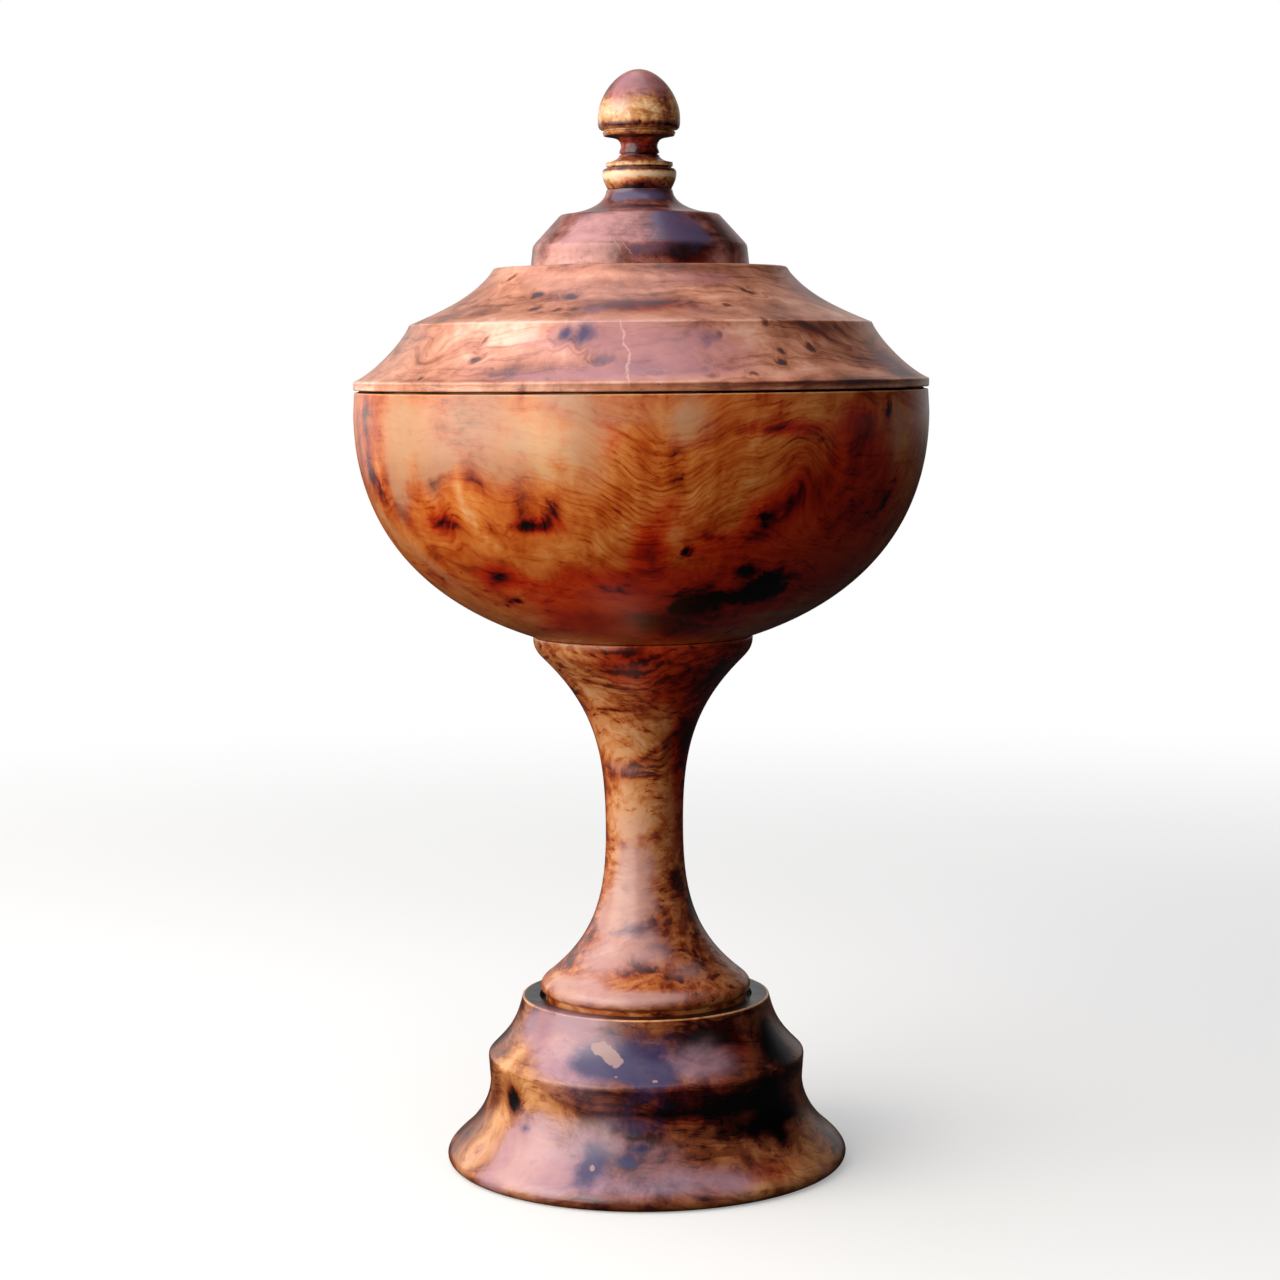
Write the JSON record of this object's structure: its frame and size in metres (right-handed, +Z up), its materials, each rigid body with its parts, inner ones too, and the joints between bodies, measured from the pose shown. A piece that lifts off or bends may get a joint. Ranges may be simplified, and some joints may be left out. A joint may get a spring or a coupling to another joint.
{
  "type": "lidded wooden pedestal bowl",
  "caption": "Round lidded bowl turned in burr wood, on a waisted stem and a moulded foot, with a stepped lid that lifts off by an acorn finial.",
  "frame": {"origin": "centre of the circle that the foot stands on", "axes": "+Z up the turning axis, from the foot to the tip of the finial; +X and +Y are any two level directions"},
  "size_m": [0.2088, 0.2088, 0.4],
  "materials": {
    "plinth_wood": "polished burr wood, reddish brown",
    "stem_wood": "polished burr wood, orange brown",
    "bowl_wood": "polished burr wood, orange brown with dark burrs",
    "lid_wood": "polished burr wood, light reddish brown with pin knots",
    "cap_wood": "polished burr wood, dark purplish brown",
    "finial_wood": "polished burr wood, golden brown"
  },
  "bodies": {
    "pedestal_bowl": {"plinth": "plinth_wood", "stem": "stem_wood", "bowl": "bowl_wood"},
    "lid_with_finial": {"lid": "lid_wood", "lid_cap": "cap_wood", "finial": "finial_wood"}
  },
  "joints": [
    {"name": "lid_lift", "type": "slide", "parent": "pedestal_bowl", "child": "lid_with_finial", "axis": [0, 0, 1], "range_m": [0, 0.16]}
  ]
}
